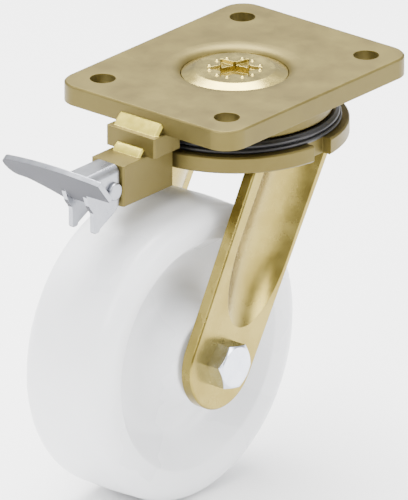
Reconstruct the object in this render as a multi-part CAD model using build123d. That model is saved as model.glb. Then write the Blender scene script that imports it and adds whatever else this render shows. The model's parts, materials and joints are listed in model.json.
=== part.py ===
from build123d import *
import math
import os

# Heavy duty swivel castor with a foot lever that locks the swivel.
# Origin: centre of the top plate's mounting face. +Z points up, out of that face.
# The wheel trails towards -X, under the lock, and its axle runs along Y. All sizes in millimetres.

# Overall sizes
wheel_d = 150.0
wheel_w = 52.0
total_height = 201.5
trail = 56.0

# Top plate
plate_x = 140.0
plate_y = 110.0
plate_t = 10.0
plate_corner = 12.0
plate_edge = 0.8
hole_pitch_x = 105.0
hole_pitch_y = 78.0
hole_d = 12.5
dish_r = 33.4
dish_depth = 3.0
boss_r = 47.8
boss_h = 9.5

# Kingpin and its fixings
head_r = 26.0
head_rim_h = 5.5
head_top_r = 19.6
head_top_drop = 0.6
shank_r = 10.0
star_tip_r = 14.6
star_root_r = 7.8
star_depth = 1.8
star_pocket_r = 8.4
star_pocket_depth = 5.0
stake_r = 1.3
stake_ring_r = 12.6
stake_spread = 13.0
king_washer_t = 1.5
king_washer_r = 18.5
king_nut_af = 30.0
king_nut_h = 5.5
king_end = 1.0

# Swivel bearing
upper_ball_r = 4.0
upper_ball_circle = 38.0
upper_ball_count = 18
lower_ball_r = 3.5
lower_ball_circle = 19.0
lower_ball_count = 12
race_sink = 1.0
ball_play = 0.06
crown_bore_r = 13.0
cup_r = 26.0
cup_t = 3.5
cup_lip_w = 2.2
cup_lip_gap = 0.8

# Fork crown and seal
crown_r = 55.7
crown_t = 8.5
crown_edge = 0.8
bearing_gap = 5.5
notch_w = 12.4
notch_depth = 5.5
notch_count = 4
seal_r = 52.0
seal_ridge = 1.1
seal_wall_top = 1.6

# Legs
leg_t = 6.0
leg_front_x = 29.0
leg_rear_x = -31.0
leg_end_r = 23.6
leg_edge = 0.7
channel_half_w = 20.5
channel_depth = 7.0
channel_wall = 4.5
channel_offset = 1.5
channel_runout = 42.0
channel_start = 18.0

# Axle and wheel bearings
axle_r = 7.0
axle_head_af = 21.0
axle_head_h = 8.8
axle_nut_h = 11.0
axle_washer_t = 2.5
axle_washer_r = 13.5
axle_tail = 3.0
tube_r = 8.5
bearing_r = 17.5
bearing_w = 10.0
inner_ring_r = 11.3
outer_ring_inner_r = 14.7
wheel_ball_r = 2.4
wheel_ball_circle = 13.0
wheel_ball_count = 8
spacer_r = 11.0
spacer_w = 4.4
bearing_seal_t = 0.8

# Wheel
hub_half_w = 29.0
hub_r = 21.5
hub_shoulder_r = 14.2
shoulder_r = 8.7
tread_crown = 0.5
rim_lip_r = 58.0
rim_lip_y = 24.2
rim_root_r = 52.5
rim_root_y = 18.0
web_half_w = 8.5
web_r = 42.0

# Lock
spacer_half_w = 15.3
spacer_front = 78.2
spacer_rear_gap = 2.9
spacer_h = 10.0
housing_half_w = 10.2
housing_front = 95.3
housing_rear_gap = 2.3
housing_h = 20.8
housing_edge = 0.8
weld_plate_leg = 5.2
weld_block_leg = 3.6
bolt_tip_r = 5.5
bolt_drop = 31.5
bolt_travel = 5.5
bolt_gap = 1.1
bolt_flange_r = 7.0
bolt_flange_t = 3.0
bolt_rod_r = 4.0
tongue_w = 7.0
tongue_h = 8.0
chamber_r = 7.5
chamber_wall = 7.7
collar_t = 3.0
spring_wire_r = 0.8
spring_turns = 4.0
pin_r = 2.7
pin_head_r = 4.4
pin_head_t = 2.0

# Foot lever
lever_half_w = 8.0
lever_top_drop = 19.6
sheet_t = 2.5
lever_bend_r = 4.0
cam_reach = 5.0
cam_travel = 5.8
cam_angle = 64.0
cam_flat = 11.0
prong_front = 14.2
prong_drop = 1.5
pedal_t = 2.7
pedal_x = 114.0
pedal_drop = 36.0
pedal_angle = 52.3
pedal_near_y = 23.0
pedal_far_y = 40.0
pedal_low = 11.0
pedal_high = 24.6

# Clearances
fit = 0.05
play = 0.3
weld_land = 1.5

# Places worked out from the sizes above
wheel_r = wheel_d / 2
axle_x = -trail
axle_z = wheel_r - total_height
plate_bottom = -plate_t
boss_bottom = plate_bottom - boss_h
crown_top = boss_bottom - bearing_gap
crown_bottom = crown_top - crown_t
seat_z = -dish_depth - head_rim_h
upper_ball_z = crown_top - race_sink + upper_ball_r
lower_ball_z = crown_bottom + race_sink - lower_ball_r
cup_top = lower_ball_z - lower_ball_r + race_sink
cup_bottom = cup_top - cup_t
nut_top = cup_bottom - king_washer_t
nut_bottom = nut_top - king_nut_h
leg_inner_y = hub_half_w + spacer_w
leg_outer_y = leg_inner_y + leg_t
spacer_rear = crown_r + spacer_rear_gap
housing_rear = crown_r + housing_rear_gap
spacer_bottom = plate_bottom - spacer_h
bolt_z = -bolt_drop
bolt_tip_x = -crown_r - bolt_gap
flange_front = -housing_rear - chamber_wall - bolt_travel - play
collar_rear = housing_front - collar_t
pin_x = -housing_front - cam_reach
pin_z = bolt_z
lever_top = -lever_top_drop
inner_y = bearing_w + hub_half_w - 2 * bearing_w


def turned(points):
    """Solid turned about the vertical axis from (radius, height) points."""
    return revolve(make_face(Plane.XZ * Polyline(*points, close=True)), Axis.Z)


def ring(r_in, r_out, low, high):
    """Plain ring about the vertical axis."""
    return turned([(r_in, low), (r_out, low), (r_out, high), (r_in, high)])


def on_axle(shape):
    """Carry a shape built about the vertical axis onto the wheel's axle."""
    return Pos(axle_x, 0, axle_z) * Rot(X=-90) * shape


def along_bolt(shape):
    """Carry a shape built about the vertical axis onto the lock bolt's axis, top end towards +X."""
    return Pos(0, 0, bolt_z) * Rot(Y=90) * shape


def both_sides(shape):
    """A shape and its mirror image across the wheel's middle plane."""
    return [shape, mirror(shape, Plane.XZ)]


def balls(radius, circle, count, height):
    """Row of separate balls about the vertical axis."""
    row = []
    for i in range(count):
        row.append(Rot(Z=360 * i / count) * Pos(circle, 0, height) * Sphere(radius))
    return row


def hexagon(across_flats, low, high):
    """Hexagon prism with its corners turned off at the upper end."""
    prism = Pos(0, 0, low) * extrude(RegularPolygon(across_flats / 2, 6, major_radius=False), high - low)
    corner_r = across_flats / math.sqrt(3)
    flat_r = across_flats / 2 * 0.95
    slope = (corner_r - flat_r) * math.tan(math.radians(30))
    cap = turned([(0, low), (corner_r, low), (corner_r, high - slope), (flat_r, high), (0, high)])
    return prism & cap


def make_top_plate():
    plate = extrude(RectangleRounded(plate_x, plate_y, plate_corner), -plate_t)
    plate = chamfer(plate.edges().group_by(Axis.Z)[-1], plate_edge)
    boss = ring(0, boss_r, boss_bottom, plate_bottom)
    boss = chamfer(boss.edges().group_by(Axis.Z)[0], plate_edge)
    plate = plate + boss
    # The dish falls smoothly from the mounting face to the rim of the kingpin's pocket.
    pocket_r = head_r + play
    lip = Spline((pocket_r, -dish_depth), (dish_r, 0), tangents=((0.5, 1), (1, 0.05)))
    walls = Polyline(
        (dish_r, 0), (dish_r, 1), (0, 1), (0, seat_z), (pocket_r, seat_z), (pocket_r, -dish_depth)
    )
    plate = plate - revolve(make_face(Plane.XZ * (lip + walls)), Axis.Z)
    plate = plate - ring(0, shank_r + play, boss_bottom - 1, seat_z + 1)
    plate = plate - ring(shank_r + play + 4, upper_ball_circle - 9, boss_bottom - 1, boss_bottom + 3)
    plate = plate - Pos(0, 0, upper_ball_z) * Torus(upper_ball_circle, upper_ball_r + ball_play)
    holes = GridLocations(hole_pitch_x, hole_pitch_y, 2, 2) * Cylinder(hole_d / 2, 3 * plate_t)
    return plate - holes


def make_kingpin():
    head_top = -head_top_drop
    outline = [
        (0, nut_bottom - king_end),
        (shank_r - 1, nut_bottom - king_end),
        (shank_r, nut_bottom - king_end + 1),
        (shank_r, seat_z),
        (head_r, seat_z),
        (head_r, -dish_depth),
        (head_top_r, head_top),
        (0, head_top),
    ]
    pin = turned(outline)
    crease = pin.edges().filter_by(GeomType.CIRCLE).sort_by(lambda e: abs(e.center().Z - head_top))[0]
    pin = fillet(crease, 1.2)
    # Six-pointed recess left by the staking tool, over a deeper hexagon pocket.
    points = []
    for i in range(12):
        reach = star_tip_r if i % 2 == 0 else star_root_r
        angle = math.radians(30 * i - 50)
        points.append((reach * math.cos(angle), reach * math.sin(angle)))
    star = make_face(Polyline(*points, close=True))
    star = fillet(star.vertices(), 0.9)
    pin = pin - Pos(0, 0, head_top) * extrude(star, -star_depth, taper=12)
    pocket = Rot(Z=-20) * RegularPolygon(star_pocket_r, 6)
    pin = pin - Pos(0, 0, head_top) * extrude(pocket, -star_pocket_depth, taper=5)
    # Metal pushed up beside each arm of the star.
    for i in range(6):
        for side in (-stake_spread, stake_spread):
            place = Rot(Z=60 * i - 50 + side) * Pos(stake_ring_r, 0, head_top - 0.45 * stake_r)
            pin = pin + place * Sphere(stake_r)
    return pin


def make_lower_race():
    cup = ring(shank_r + play, cup_r, cup_bottom, cup_top)
    lip_top = crown_bottom - cup_lip_gap
    cup = cup + ring(cup_r - cup_lip_w, cup_r, cup_bottom, lip_top)
    return cup - Pos(0, 0, lower_ball_z) * Torus(lower_ball_circle, lower_ball_r + ball_play)


def make_king_nut():
    nut = Rot(X=180) * hexagon(king_nut_af, -nut_top, -nut_bottom)
    return nut - ring(0, shank_r + fit, nut_bottom - 1, nut_top + 1)


def make_crown():
    crown = ring(crown_bore_r, crown_r, crown_bottom, crown_top)
    rims = crown.edges().filter_by(GeomType.CIRCLE)
    crown = chamfer(rims.group_by(SortBy.RADIUS)[-1], crown_edge)
    crown = crown - Pos(0, 0, upper_ball_z) * Torus(upper_ball_circle, upper_ball_r + ball_play)
    crown = crown - Pos(0, 0, lower_ball_z) * Torus(lower_ball_circle, lower_ball_r + ball_play)
    for i in range(notch_count):
        cut = Box(2 * notch_depth, notch_w, 3 * crown_t)
        crown = crown - Rot(Z=360 * i / notch_count) * Pos(crown_r, 0, crown_bottom) * cut
    return crown


def make_seal():
    inner = boss_r + play
    height = boss_bottom - crown_top
    wall_top = inner + seal_wall_top
    body = turned([
        (inner, crown_top),
        (seal_r - seal_ridge, crown_top),
        (wall_top, crown_top + height),
        (inner, crown_top + height),
    ])
    low_ridge = Pos(0, 0, crown_top + seal_ridge) * Torus(seal_r - seal_ridge, seal_ridge)
    high_ridge = Pos(0, 0, crown_top + 0.62 * height) * Torus(seal_r - 1.9 * seal_ridge, seal_ridge)
    return body + low_ridge + high_ridge


def make_leg():
    """Near leg, on the -Y side: a flat tapered plate with a pressed channel in its outer face."""
    top_line = Line((leg_rear_x, crown_bottom), (leg_front_x, crown_bottom))
    end_circle = Pos(axle_x, axle_z) * CenterArc((0, 0), leg_end_r, 0, 360)
    outline = make_hull((top_line + end_circle).edges())
    face = Plane.XZ * outline
    plate = Pos(0, -leg_inner_y, 0) * extrude(face, leg_t)
    outer_edges = plate.faces().sort_by(Axis.Y)[0].edges()
    plate = chamfer(outer_edges, leg_edge)
    blank = Pos(0, -leg_inner_y + leg_t, 0) * extrude(face, 2 * leg_t)

    # The channel's centre line runs from the axle towards the middle of the leg's top.
    top_x = (leg_rear_x + leg_front_x) / 2
    slope = math.degrees(math.atan2(top_x - axle_x, crown_bottom - axle_z))
    tool_r = (channel_half_w ** 2 + channel_depth ** 2) / (2 * channel_depth)
    runout_r = channel_runout ** 2 / (2 * channel_depth)
    tool_y = -leg_outer_y - (tool_r - channel_depth)
    sweep_r = runout_r - tool_r
    bend_s = channel_start + channel_runout
    length = 3 * channel_runout

    def tool(radius):
        """Round-nosed tool path: straight up the leg, and run out of its face at the lower end."""
        disc = Circle(radius)
        straight = Pos(channel_offset, tool_y, bend_s) * extrude(disc, length)
        axis_point = (channel_offset, tool_y - sweep_r, bend_s)
        axis = Axis(axis_point, (-1, 0, 0))
        runout = revolve(Pos(channel_offset, tool_y, bend_s) * disc, axis, 50)
        both = straight + runout
        return Pos(axle_x, 0, axle_z) * Rot(Y=slope) * both

    bulge = blank & tool(tool_r + channel_wall)
    inside = Pos(0, -leg_inner_y - leg_t / 2, 0) * extrude(face, -3 * leg_t)
    bulge = bulge & inside
    leg = plate + bulge - tool(tool_r)
    bore = Pos(axle_x, -leg_outer_y, axle_z) * Rot(X=90) * Cylinder(axle_r + play, 4 * leg_t)
    return leg - bore


def make_axle_bolt():
    """Bolt with its head on the near side, turned about the axle."""
    nut_seat = leg_outer_y + axle_washer_t
    end = nut_seat + axle_nut_h + axle_tail
    shank = ring(0, axle_r, -leg_outer_y, end)
    shank = chamfer(shank.edges().group_by(Axis.Z)[-1], 1)
    head = Rot(X=180) * hexagon(axle_head_af, leg_outer_y, leg_outer_y + axle_head_h)
    return on_axle(Rot(Z=12) * (head + shank))


def make_axle_nut():
    low = leg_outer_y + axle_washer_t
    nut = hexagon(axle_head_af, low, low + axle_nut_h)
    return on_axle(nut - ring(0, axle_r + fit, low - 1, low + axle_nut_h + 1))


def make_wheel():
    """Cast wheel, turned from half a section and its mirror image."""
    side_y = wheel_w / 2
    tread_y = side_y - shoulder_r
    edge_r = wheel_r - tread_crown
    side_r = edge_r - shoulder_r
    tread = ThreePointArc((edge_r, -tread_y), (wheel_r, 0), (edge_r, tread_y))
    diagonal = shoulder_r * math.sqrt(0.5)
    shoulder = ThreePointArc(
        (edge_r, tread_y), (side_r + diagonal, tread_y + diagonal), (side_r, side_y)
    )
    side = Polyline((side_r, side_y), (rim_lip_r, rim_lip_y), (rim_root_r, rim_root_y))
    bowl = Spline(
        (rim_root_r, rim_root_y),
        (web_r, web_half_w),
        (hub_r + 1.5, hub_half_w - 6),
        tangents=((-0.6, -1), (-0.15, 1)),
    )
    seat_r = bearing_r + fit
    hub = Polyline(
        (hub_r + 1.5, hub_half_w - 6),
        (hub_r, hub_half_w - 1),
        (hub_r - 1, hub_half_w),
        (seat_r, hub_half_w),
        (seat_r, inner_y),
        (hub_shoulder_r, inner_y),
    )
    half = shoulder + side + bowl + hub
    other = mirror(half, Plane.XZ)
    bore = Line((hub_shoulder_r, -inner_y), (hub_shoulder_r, inner_y))
    section = make_face(Plane.XZ * (tread + half + other + bore))
    return on_axle(revolve(section, Axis.Z))


def bearing_groove():
    """Ball groove of one wheel bearing."""
    middle = hub_half_w - bearing_w / 2
    return Pos(0, 0, middle) * Torus(wheel_ball_circle, wheel_ball_r + ball_play)


def make_inner_ring():
    body = ring(tube_r + fit, inner_ring_r, inner_y, hub_half_w)
    return on_axle(body - bearing_groove())


def make_outer_ring():
    body = ring(outer_ring_inner_r, bearing_r, inner_y, hub_half_w)
    return on_axle(body - bearing_groove())


def make_wheel_balls():
    row = balls(wheel_ball_r, wheel_ball_circle, wheel_ball_count, hub_half_w - bearing_w / 2)
    return [on_axle(ball) for ball in row]


def make_bearing_seal():
    high = hub_half_w - play
    return on_axle(ring(inner_ring_r + play, outer_ring_inner_r - fit, high - bearing_seal_t, high))


def weld_bead(leg, half_length):
    """Fillet weld along Y with a slightly full face, its corner at the origin, towards -X and +Z."""
    full = 0.42 * leg
    face = ThreePointArc((-leg, 0), (-full - 0.6, full + 0.6), (0, leg))
    legs = Polyline((0, leg), (0, 0), (-leg, 0))
    bead = extrude(Plane.XZ * make_face(face + legs), half_length, both=True)
    ends = bead.faces().filter_by(Axis.Y)
    return chamfer(ends.edges().filter_by(GeomType.CIRCLE), 0.25 * leg)


def make_lock_spacer():
    length = spacer_front - spacer_rear
    middle = -(spacer_front + spacer_rear) / 2
    block = Pos(middle, 0, plate_bottom - spacer_h / 2) * Box(length, 2 * spacer_half_w, spacer_h)
    block = chamfer(block.edges().filter_by(Axis.Z), housing_edge)
    bead = weld_bead(weld_plate_leg, spacer_half_w - weld_land)
    return block + Pos(-plate_x / 2, 0, plate_bottom) * bead


def make_lock_housing():
    length = housing_front - housing_rear
    middle = -(housing_front + housing_rear) / 2
    block = Pos(middle, 0, spacer_bottom - housing_h / 2) * Box(length, 2 * housing_half_w, housing_h)
    block = chamfer(block.edges().filter_by(Axis.Z), housing_edge)
    bead = weld_bead(weld_block_leg, housing_half_w - weld_land)
    block = block + Pos(-spacer_front, 0, spacer_bottom) * bead
    guide = ring(0, bolt_tip_r + fit, -housing_front - 1, -housing_rear + 1)
    chamber = ring(0, chamber_r, -housing_front - 1, -housing_rear - chamber_wall)
    return block - along_bolt(guide) - along_bolt(chamber)


def make_spring_collar():
    collar = ring(bolt_rod_r + play, chamber_r, -housing_front, -collar_rear)
    # Flats let the tongue's corners pass.
    slot = Pos(0, 0, -housing_front) * Box(tongue_h + 2 * play, tongue_w + 2 * play, 3 * collar_t)
    return along_bolt(collar - slot)


def make_lock_bolt():
    tip = ring(0, bolt_tip_r, flange_front, bolt_tip_x)
    tip = chamfer(tip.edges().group_by(Axis.Z)[-1], 1)
    flange = ring(0, bolt_flange_r, flange_front - bolt_flange_t, flange_front)
    tongue_r = tongue_h / 2
    tongue_end = pin_x - bolt_travel
    rod = ring(0, bolt_rod_r, -housing_front, flange_front - bolt_flange_t)
    tongue_length = -housing_front - tongue_end + 4
    tongue = Pos(0, 0, tongue_end + tongue_length / 2) * Box(tongue_h, tongue_w, tongue_length)
    tongue = tongue & ring(0, bolt_rod_r + 0.8, tongue_end, tongue_end + tongue_length)
    nose = Pos(0, 0, tongue_end) * Rot(X=90) * Cylinder(tongue_r, tongue_w)
    bolt = along_bolt(tip + flange + rod + tongue + nose)
    # The pin's slot lets the lever wait for a notch.
    slot = SlotCenterToCenter(bolt_travel, 2 * (pin_r + ball_play))
    slot = Plane.XZ * Pos(pin_x - bolt_travel / 2, pin_z) * slot
    return bolt - extrude(slot, 2 * tongue_w, both=True)


def make_lock_spring():
    start = -collar_rear + spring_wire_r
    end = flange_front - bolt_flange_t - spring_wire_r
    mean_r = (bolt_rod_r + chamber_r) / 2
    path = Helix((end - start) / spring_turns, end - start, mean_r)
    wire = Plane(origin=path @ 0, z_dir=path % 0) * Circle(spring_wire_r)
    return along_bolt(Pos(0, 0, start) * sweep(wire, path, is_frenet=True))


def make_lever_pin():
    half = lever_half_w + play / 2
    shank = ring(0, pin_r, -half, half)
    head = ring(0, pin_head_r, half, half + pin_head_t)
    head = fillet(head.edges().group_by(Axis.Z)[-1], 0.8)
    whole = shank + head + mirror(head, Plane.XY)
    return Pos(pin_x, 0, pin_z) * Rot(X=90) * whole


def cam_points():
    """Cheek corner whose reach from the pin grows evenly as the lever turns down."""
    points = []
    rate = cam_travel / math.radians(cam_angle)
    steps = 8
    for i in range(steps + 1):
        turn = math.radians(cam_angle) * i / steps
        reach = cam_reach - play + rate * turn
        x = reach * math.cos(turn) - rate * math.sin(turn)
        z = -reach * math.sin(turn) - rate * math.cos(turn)
        points.append((pin_x + x, pin_z + z))
    return points


def make_lever():
    """Pressed foot lever: a channel with two cam cheeks, and a pedal across its front end."""
    cam = cam_points()
    back_x = pin_x + cam_reach - play
    turn = math.radians(cam_angle)
    foot = (cam[-1][0] - cam_flat * math.sin(turn), cam[-1][1] - cam_flat * math.cos(turn))
    front_x = pin_x - prong_front
    end_z = foot[1] - prong_drop
    lean = math.radians(pedal_angle)
    across = (-math.cos(lean), math.sin(lean))

    def on_pedal(rise):
        """Point (x, z) halfway through the pedal's sheet, at a height along its slope."""
        middle_x = -pedal_x + pedal_t / 2 * math.sin(lean)
        middle_z = -pedal_drop + pedal_t / 2 * math.cos(lean)
        return (middle_x + rise * across[0], middle_z + rise * across[1])

    top_rise = (lever_top + pedal_drop) / math.sin(lean) - pedal_t / 2
    edge = Spline(*cam, tangents=((0, -1), (-math.sin(turn), -math.cos(turn))))
    rest = Polyline(
        cam[-1],
        foot,
        (foot[0] - 0.4, end_z + 0.5),
        (foot[0] - 1.0, end_z),
        (front_x + 0.8, end_z),
        (front_x, end_z + 0.8),
        (front_x, -pedal_drop - 5),
    )
    brow = Spline(
        (front_x, -pedal_drop - 5),
        (front_x - 2.7, -pedal_drop + 0.4),
        (-pedal_x + 11 * across[0], -pedal_drop + 11 * across[1]),
        tangents=((0, 1), across),
    )
    top = Polyline(
        (-pedal_x + 11 * across[0], -pedal_drop + 11 * across[1]),
        on_pedal(12),
        on_pedal(top_rise),
        (back_x, lever_top),
        cam[0],
    )
    side = make_face(edge + rest + brow + top)
    cheeks = extrude(Plane.XZ * side, lever_half_w, both=True)
    reach = 50
    height = 80
    outer = RectangleRounded(2 * lever_half_w, height, lever_bend_r)
    inner = RectangleRounded(2 * (lever_half_w - sheet_t), height - 2 * sheet_t, lever_bend_r - sheet_t)
    section = Pos(0, lever_top - height / 2) * (outer - inner)
    channel = Pos(back_x - reach, 0, 0) * extrude(Plane.YZ * section, reach)
    lever = cheeks & channel

    # Pedal outline: first number along Y, second up the slope.
    crest = ThreePointArc((-pedal_near_y, pedal_high), (8, 26.6), (pedal_far_y - 4, 23.4))
    tip = Spline(
        (pedal_far_y - 4, 23.4),
        (pedal_far_y, 18.0),
        (pedal_far_y - 4, 10.6),
        (31, 10.2),
        (23, 7.7),
        (17, 4.9),
        (lever_half_w + 2.5, 1.2),
        (lever_half_w - 1, -0.6),
    )
    under = Polyline(
        (lever_half_w - 1, -0.6),
        (lever_half_w - 1.5, 3),
        (-lever_half_w + 1.5, 3),
    )
    near = Polyline(
        (-lever_half_w + 1.5, 3),
        (-lever_half_w + 1, pedal_low - 0.8),
        (-pedal_near_y, pedal_low),
    )
    end = Line((-pedal_near_y, pedal_low), (-pedal_near_y, pedal_high))
    sheet = Plane(
        origin=(-pedal_x, 0, -pedal_drop),
        x_dir=(0, 1, 0),
        z_dir=(math.sin(lean), 0, math.cos(lean)),
    )
    pedal = extrude(sheet * make_face(crest + tip + under + near + end), pedal_t)
    lever = lever + pedal
    bore = Pos(pin_x, 0, pin_z) * Rot(X=90) * Cylinder(pin_r + ball_play, 4 * lever_half_w)
    return lever - bore


def main():
    leg = make_leg()
    inner_ring = make_inner_ring()
    outer_ring = make_outer_ring()
    bearing_seal = make_bearing_seal()
    near_balls = make_wheel_balls()
    axle_spacer = on_axle(ring(tube_r + fit, spacer_r, hub_half_w, leg_inner_y))
    far_side = leg_outer_y + axle_washer_t
    nodes = {
        "top_plate": [make_top_plate()],
        "kingpin": [make_kingpin()],
        "kingpin_washer": [ring(shank_r + play, king_washer_r, nut_top, cup_bottom)],
        "kingpin_nut": [make_king_nut()],
        "lower_race": [make_lower_race()],
        "upper_balls": balls(upper_ball_r, upper_ball_circle, upper_ball_count, upper_ball_z),
        "lower_balls": balls(lower_ball_r, lower_ball_circle, lower_ball_count, lower_ball_z),
        "lock_spacer": [make_lock_spacer()],
        "lock_housing": [make_lock_housing()],
        "spring_collar": [make_spring_collar()],
        "lock_spring": [make_lock_spring()],
        "fork_crown": [make_crown()],
        "leg_near": [leg],
        "leg_far": [mirror(leg, Plane.XZ)],
        "dust_seal": [make_seal()],
        "axle_bolt": [make_axle_bolt()],
        "axle_washer": [on_axle(ring(axle_r + play, axle_washer_r, leg_outer_y, far_side))],
        "axle_nut": [make_axle_nut()],
        "axle_tube": [on_axle(ring(axle_r + play, tube_r, -leg_inner_y, leg_inner_y))],
        "axle_spacers": both_sides(axle_spacer),
        "inner_rings": both_sides(inner_ring),
        "outer_rings": both_sides(outer_ring),
        "wheel_balls": near_balls + [mirror(ball, Plane.XZ) for ball in near_balls],
        "bearing_seals": both_sides(bearing_seal),
        "wheel": [make_wheel()],
        "lock_bolt": [make_lock_bolt()],
        "lever_pin": [make_lever_pin()],
        "lock_lever": [make_lever()],
    }
    os.makedirs("parts", exist_ok=True)
    for name, solids in nodes.items():
        shape = solids[0] if len(solids) == 1 else Compound(children=solids)
        export_step(shape, f"parts/{name}.step")


main()
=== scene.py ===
import json
import math

import bmesh
import bpy
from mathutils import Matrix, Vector


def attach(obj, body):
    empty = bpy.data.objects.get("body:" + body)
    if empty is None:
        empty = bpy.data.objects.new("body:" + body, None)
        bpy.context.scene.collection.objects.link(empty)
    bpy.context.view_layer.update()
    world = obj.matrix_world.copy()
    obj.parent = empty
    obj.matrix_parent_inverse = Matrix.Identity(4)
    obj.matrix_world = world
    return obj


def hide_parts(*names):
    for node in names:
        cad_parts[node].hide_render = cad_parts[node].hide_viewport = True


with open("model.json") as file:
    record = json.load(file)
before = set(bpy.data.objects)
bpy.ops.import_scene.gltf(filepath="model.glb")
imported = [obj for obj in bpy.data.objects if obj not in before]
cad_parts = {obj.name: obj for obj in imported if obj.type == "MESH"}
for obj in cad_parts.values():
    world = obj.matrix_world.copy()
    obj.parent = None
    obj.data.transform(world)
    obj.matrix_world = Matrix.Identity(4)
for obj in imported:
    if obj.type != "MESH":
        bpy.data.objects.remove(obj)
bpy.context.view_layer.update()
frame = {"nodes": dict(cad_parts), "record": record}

MM = 0.001


def joint_place(name):
    """Where a joint of the part sits, in metres."""
    for joint in frame["record"]["behaviour"]["joints"]:
        if joint["name"] == name:
            return Vector(joint["pos_m"])


# Sizes, in millimetres unless the name says otherwise

AXLE_M = joint_place("wheel_spin")
TREAD_R = 75.0
TREAD_SHOULDER_R = 8.7
WHEEL_STEPS = 160
SEAL_INNER_R = 48.1
SEAL_LIP_R = 1.1
SEAL_STEPS = 144
SHARP_EDGE_DEG = 38
FLOOR_GAP = 0.1
FLOOR_HALF_M = 6
LENS = 1300.0
SENSOR = 36.0
SHOWN_WIDTH_M = 0.2415
CAMERA_RISE_DEG = 22.4
CAMERA_ROUND_DEG = 50.0
CAMERA_AIM = Vector((-34.9, -9.95, -82.1))
LIGHT_AIM_M = (-0.03, 0, -0.08)


# Materials

def new_material(name):
    """A node material: the material, its node tree and its shader."""
    mat = bpy.data.materials.new(name)
    mat.use_nodes = True
    tree = mat.node_tree
    shader = tree.nodes["Principled BSDF"]
    return mat, tree, shader


def noise(tree, scale, detail, rough=0.55):
    """Noise laid over the object's own coordinates, in metres."""
    place = tree.nodes.new("ShaderNodeTexCoord")
    tex = tree.nodes.new("ShaderNodeTexNoise")
    tex.inputs["Scale"].default_value = scale
    tex.inputs["Detail"].default_value = detail
    tex.inputs["Roughness"].default_value = rough
    tree.links.new(place.outputs["Object"], tex.inputs["Vector"])
    return tex.outputs["Fac"]


def ramp(tree, value, low, high, start=0.35, end=0.65):
    """Blend between two colours while a value goes from start to end."""
    node = tree.nodes.new("ShaderNodeValToRGB")
    node.color_ramp.elements[0].position = start
    node.color_ramp.elements[0].color = (*low, 1)
    node.color_ramp.elements[1].position = end
    node.color_ramp.elements[1].color = (*high, 1)
    tree.links.new(value, node.inputs["Fac"])
    return node.outputs["Color"]


def spread(tree, value, low, high):
    """Noise, mostly between 0.3 and 0.7, spread over another range."""
    node = tree.nodes.new("ShaderNodeMapRange")
    node.inputs["From Min"].default_value = 0.3
    node.inputs["From Max"].default_value = 0.7
    node.inputs["To Min"].default_value = low
    node.inputs["To Max"].default_value = high
    tree.links.new(value, node.inputs["Value"])
    return node.outputs["Result"]


def bump(tree, shader, value, strength, depth):
    """Surface grain, with each edge rounded by half a millimetre in the shading."""
    node = tree.nodes.new("ShaderNodeBump")
    node.inputs["Strength"].default_value = strength
    node.inputs["Distance"].default_value = depth
    edge = tree.nodes.new("ShaderNodeBevel")
    edge.samples = 6
    edge.inputs["Radius"].default_value = 0.5 * MM
    tree.links.new(edge.outputs["Normal"], node.inputs["Normal"])
    tree.links.new(value, node.inputs["Height"])
    tree.links.new(node.outputs["Normal"], shader.inputs["Normal"])


def metal(name, low, high, metallic, rough, patch=45.0, grain=1400.0, depth=0.04, gloss=0.5):
    """Steel: cloudy colour, uneven roughness and a fine grain, its depth in millimetres."""
    mat, tree, shader = new_material(name)
    cloud = noise(tree, patch, 5, 0.6)
    fine = noise(tree, grain, 2, 0.5)
    tree.links.new(ramp(tree, cloud, low, high), shader.inputs["Base Color"])
    tree.links.new(spread(tree, cloud, rough - 0.05, rough + 0.07), shader.inputs["Roughness"])
    shader.inputs["Metallic"].default_value = metallic
    shader.inputs["Specular IOR Level"].default_value = gloss
    bump(tree, shader, fine, 0.35, depth * MM)
    return mat


yellow = metal("yellow_passivated", (0.115, 0.088, 0.022), (0.140, 0.110, 0.030), 0.75, 0.44)
leg_yellow = metal("yellow_passivated_leg", (0.25, 0.19, 0.045), (0.33, 0.26, 0.07), 1.0, 0.25, 60.0)
# Painted highlight: a much lighter copy of the yellow, for faces that point up and to the left, where light
# falls on the weld beads.
painted_highlight_yellow = metal("yellow_passivated_painted_highlight", (0.60, 0.49, 0.07), (0.78, 0.65, 0.12), 0.75, 0.34, 160, 500)
kingpin_metal = metal("yellow_passivated_kingpin", (0.34, 0.27, 0.075), (0.48, 0.39, 0.12), 1.0, 0.25, 90.0)
zinc = metal("bright_zinc", (0.55, 0.58, 0.66), (0.70, 0.73, 0.82), 1.0, 0.18, 120.0)
ground = metal("ground_steel", (0.30, 0.31, 0.32), (0.40, 0.41, 0.42), 1.0, 0.25, 200.0, 2400.0, depth=0.02)
lever_metal = metal("lever_zinc", (0.30, 0.31, 0.34), (0.37, 0.38, 0.41), 1.0, 0.30, 70.0, 900.0)
# Painted shade: a near-black copy of the lever's zinc, for its faces that point down and to the left, away
# from the light.
painted_shade_lever_metal = metal(
    "lever_zinc_painted_shade",
    (0.060, 0.061, 0.070),
    (0.080, 0.081, 0.092),
    0.3,
    0.60,
    70.0,
    900.0,
    gloss=0.2,
)


def make_nylon():
    mat, tree, shader = new_material("white_nylon")
    cloud = noise(tree, 14.0, 3)
    fine = noise(tree, 900.0, 2)
    tree.links.new(ramp(tree, cloud, (0.80, 0.81, 0.83), (0.86, 0.87, 0.885)), shader.inputs["Base Color"])
    tree.links.new(spread(tree, cloud, 0.25, 0.33), shader.inputs["Roughness"])
    shader.inputs["Subsurface Weight"].default_value = 0.15
    shader.inputs["Subsurface Radius"].default_value = (4 * MM, 4 * MM, 4 * MM)
    bump(tree, shader, fine, 0.15, 0.03 * MM)
    return mat


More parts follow.
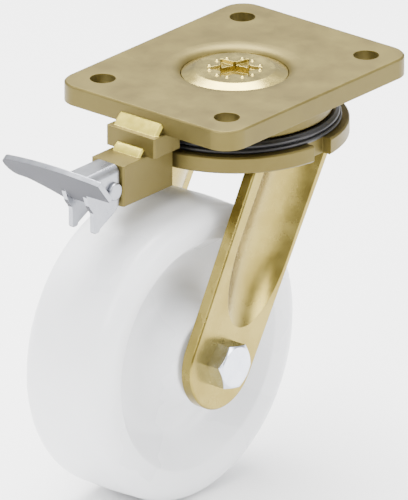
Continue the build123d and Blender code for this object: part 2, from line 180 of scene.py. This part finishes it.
def make_rubber():
    mat, tree, shader = new_material("black_rubber")
    cloud = noise(tree, 60.0, 3)
    fine = noise(tree, 1800.0, 2)
    black = ramp(tree, cloud, (0.006, 0.006, 0.007), (0.013, 0.013, 0.014))
    tree.links.new(black, shader.inputs["Base Color"])
    tree.links.new(spread(tree, cloud, 0.34, 0.44), shader.inputs["Roughness"])
    bump(tree, shader, fine, 0.3, 0.04 * MM)
    return mat


nylon = make_nylon()
rubber = make_rubber()

finish_of = {
    "top_plate": yellow,
    "kingpin": kingpin_metal,
    "lock_spacer": yellow,
    "lock_housing": yellow,
    "fork_crown": yellow,
    "leg_near": leg_yellow,
    "leg_far": leg_yellow,
    "kingpin_washer": zinc,
    "kingpin_nut": zinc,
    "axle_bolt": zinc,
    "axle_washer": zinc,
    "axle_nut": zinc,
    "lever_pin": lever_metal,
    "lock_lever": lever_metal,
    "wheel": nylon,
    "dust_seal": rubber,
    "bearing_seals": rubber,
}


# Pieces

def body_of(node):
    """The moving body that holds a node."""
    for body, names in frame["record"]["behaviour"]["bodies"].items():
        if node in names:
            return body


def add_piece(mesh, name, node, mat):
    """Put a mesh in the scene in place of a CAD node, riding on the node's body."""
    mesh.materials.clear()
    mesh.materials.append(mat)
    obj = bpy.data.objects.new(name, mesh)
    bpy.context.scene.collection.objects.link(obj)
    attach(obj, body_of(node))
    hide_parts(node)
    flat = obj.modifiers.new("flat_faces", "WEIGHTED_NORMAL")
    flat.keep_sharp = True
    flat.weight = 90


def paint(node):
    """Give a carried-over CAD node its finish."""
    obj = frame["nodes"][node]
    obj.data.materials.clear()
    obj.data.materials.append(finish_of.get(node, ground))


def paint_faces(obj, mat, picked):
    """Give the faces of a node whose normal is picked another material; here that paints light or shade by
    which way each face points.
    """
    obj.data.materials.append(mat)
    for face in obj.data.polygons:
        if picked(face.normal):
            face.material_index = 1


def lathe(profile, steps):
    """Mesh turned about +Z from a closed outline of (radius, height) points in millimetres."""
    bm = bmesh.new()
    rows = []
    for i in range(steps):
        angle = 2 * math.pi * i / steps
        c, s = math.cos(angle), math.sin(angle)
        rows.append([bm.verts.new((r * c * MM, r * s * MM, z * MM)) for r, z in profile])
    count = len(profile)
    for i in range(steps):
        near, far = rows[i], rows[(i + 1) % steps]
        for j in range(count):
            k = (j + 1) % count
            bm.faces.new((near[j], far[j], far[k], near[k]))
    bmesh.ops.recalc_face_normals(bm, faces=bm.faces)
    for face in bm.faces:
        face.smooth = True
    for edge in bm.edges:
        edge.smooth = edge.calc_face_angle(0) < math.radians(SHARP_EDGE_DEG)
    return bm


def bend(start, pull, end, steps):
    """Points of a smooth bend, without its last one."""
    points = []
    for i in range(steps):
        t = i / steps
        near, mid, far = (1 - t) ** 2, 2 * t * (1 - t), t * t
        points.append(tuple(near * a + mid * b + far * c for a, b, c in zip(start, pull, end)))
    return points


def arc(centre, radius, start, end, steps):
    """Points round a centre between two angles in degrees."""
    points = []
    for i in range(steps + 1):
        turn = math.radians(start + (end - start) * i / steps)
        points.append((centre[0] + radius * math.cos(turn), centre[1] + radius * math.sin(turn)))
    return points


def make_wheel():
    """The cast wheel, from (radius, distance from the middle plane) points."""
    crown = [(TREAD_R - 0.38, 12.0), (TREAD_R - 0.14, 6.0), (TREAD_R, 0.0)]
    crown += [(r, -y) for r, y in crown[1::-1]]
    shoulder = arc((65.8, 17.3), TREAD_SHOULDER_R, 0, 90, 8)
    side = [(62.0, 25.4), (59.0, 24.5)]
    lip = bend((58.4, 24.3), (57.6, 24.0), (57.0, 23.2), 3) + [(55.5, 21.6), (53.4, 18.9)]
    lip += bend((52.6, 17.8), (51.6, 16.6), (50.6, 15.4), 3)
    dish = bend((50.0, 14.6), (45.5, 8.0), (38.0, 8.3), 8)
    dish += bend((38.0, 8.3), (27.0, 8.8), (23.2, 21.5), 9)
    hub = [(22.8, 23.5), (21.9, 27.6), (21.4, 28.5), (20.6, 28.95), (17.6, 29.0)]
    bore = [(17.55, 28.6), (17.55, 19.0), (14.2, 19.0)]
    half = shoulder + side + lip + dish + hub + bore
    bm = lathe(crown + [(r, -y) for r, y in half] + [(r, y) for r, y in reversed(half)], WHEEL_STEPS)
    for v in bm.verts:
        x, y, z = v.co
        v.co = AXLE_M + Vector((x, z, -y))
    bmesh.ops.recalc_face_normals(bm, faces=bm.faces)
    mesh = bpy.data.meshes.new("wheel_fine")
    bm.to_mesh(mesh)
    bm.free()
    add_piece(mesh, "wheel_fine", "wheel", nylon)


def make_seal():
    """The black ring with two rounded ridges, from (radius, height) points."""
    lower_ridge = arc((50.9, -23.9), SEAL_LIP_R, -80, 80, 8)
    upper_ridge = arc((49.95, -21.6), SEAL_LIP_R, -70, 70, 7)
    outline = [(SEAL_INNER_R, -25.0), (51.0, -25.0)] + lower_ridge + [(50.3, -22.75)] + upper_ridge
    outline += [(49.7, -19.9), (49.4, -19.5), (SEAL_INNER_R, -19.5)]
    bm = lathe(outline, SEAL_STEPS)
    mesh = bpy.data.meshes.new("dust_seal_fine")
    bm.to_mesh(mesh)
    bm.free()
    add_piece(mesh, "dust_seal_fine", "dust_seal", rubber)


make_wheel()
make_seal()

for node in frame["nodes"]:
    paint(node)
# Painted highlight: spacer and housing faces pointing up and to the left get the much lighter yellow, which
# stands in for light on the weld beads.
for node in ("lock_spacer", "lock_housing"):
    paint_faces(frame["nodes"][node], painted_highlight_yellow, lambda n: n.x < -0.3 and n.z > 0.3)
# Painted shade: lever faces pointing down and to the left get the near-black copy of its zinc.
paint_faces(frame["nodes"]["lock_lever"], painted_shade_lever_metal, lambda n: n.x < -0.6 and n.z < -0.4)


# Setting

def make_floor():
    """A wide pale floor just below the tread."""
    mesh = bpy.data.meshes.new("floor")
    z = AXLE_M.z - (TREAD_R + FLOOR_GAP) * MM
    corners = [(-1, -1), (1, -1), (1, 1), (-1, 1)]
    mesh.from_pydata([(x * FLOOR_HALF_M, y * FLOOR_HALF_M, z) for x, y in corners], [], [(0, 1, 2, 3)])
    mat, tree, shader = new_material("pale_floor")
    cloud = noise(tree, 2.0, 2)
    tree.links.new(ramp(tree, cloud, (0.93, 0.93, 0.93), (0.96, 0.96, 0.96)), shader.inputs["Base Color"])
    shader.inputs["Roughness"].default_value = 0.9
    mesh.materials.append(mat)
    obj = bpy.data.objects.new("floor", mesh)
    bpy.context.scene.collection.objects.link(obj)


def area_light(name, place, width, power):
    """A square soft light that faces the part."""
    data = bpy.data.lights.new(name, "AREA")
    data.shape = "RECTANGLE"
    data.size = width
    data.size_y = width
    data.energy = power
    obj = bpy.data.objects.new(name, data)
    obj.location = place
    obj.rotation_mode = "QUATERNION"
    obj.rotation_quaternion = (Vector(LIGHT_AIM_M) - Vector(place)).to_track_quat("-Z", "Y")
    bpy.context.scene.collection.objects.link(obj)


def make_world():
    """A studio tent: bright overhead, grey at the horizon."""
    world = bpy.data.worlds.new("studio")
    world.use_nodes = True
    tree = world.node_tree
    place = tree.nodes.new("ShaderNodeTexCoord")
    split = tree.nodes.new("ShaderNodeSeparateXYZ")
    tree.links.new(place.outputs["Generated"], split.inputs["Vector"])
    shade = ramp(tree, split.outputs["Z"], (0.30, 0.30, 0.31), (1.0, 1.0, 1.0), 0.05, 0.75)
    back = tree.nodes["Background"]
    tree.links.new(shade, back.inputs["Color"])
    back.inputs["Strength"].default_value = 1.8
    bpy.context.scene.world = world


def make_camera():
    """The photograph's view, from far off with a long lens."""
    data = bpy.data.cameras.new("photo_view")
    data.lens = LENS
    data.clip_end = 100.0
    obj = bpy.data.objects.new("photo_view", data)
    rise = math.radians(CAMERA_RISE_DEG)
    side = math.radians(CAMERA_ROUND_DEG)
    back = Vector((-math.sin(side) * math.cos(rise), -math.cos(side) * math.cos(rise), math.sin(rise)))
    obj.location = CAMERA_AIM * MM + back * (SHOWN_WIDTH_M * LENS / SENSOR)
    obj.rotation_mode = "QUATERNION"
    obj.rotation_quaternion = (-back).to_track_quat("-Z", "Y")
    bpy.context.scene.collection.objects.link(obj)
    bpy.context.scene.camera = obj


make_floor()
make_world()
area_light("overhead", (0.25, 0.35, 1.3), 1.1, 95)
area_light("left", (-1.3, -0.2, 0.9), 0.8, 26)
area_light("front", (0.5, -1.5, 0.5), 0.7, 16)
make_camera()
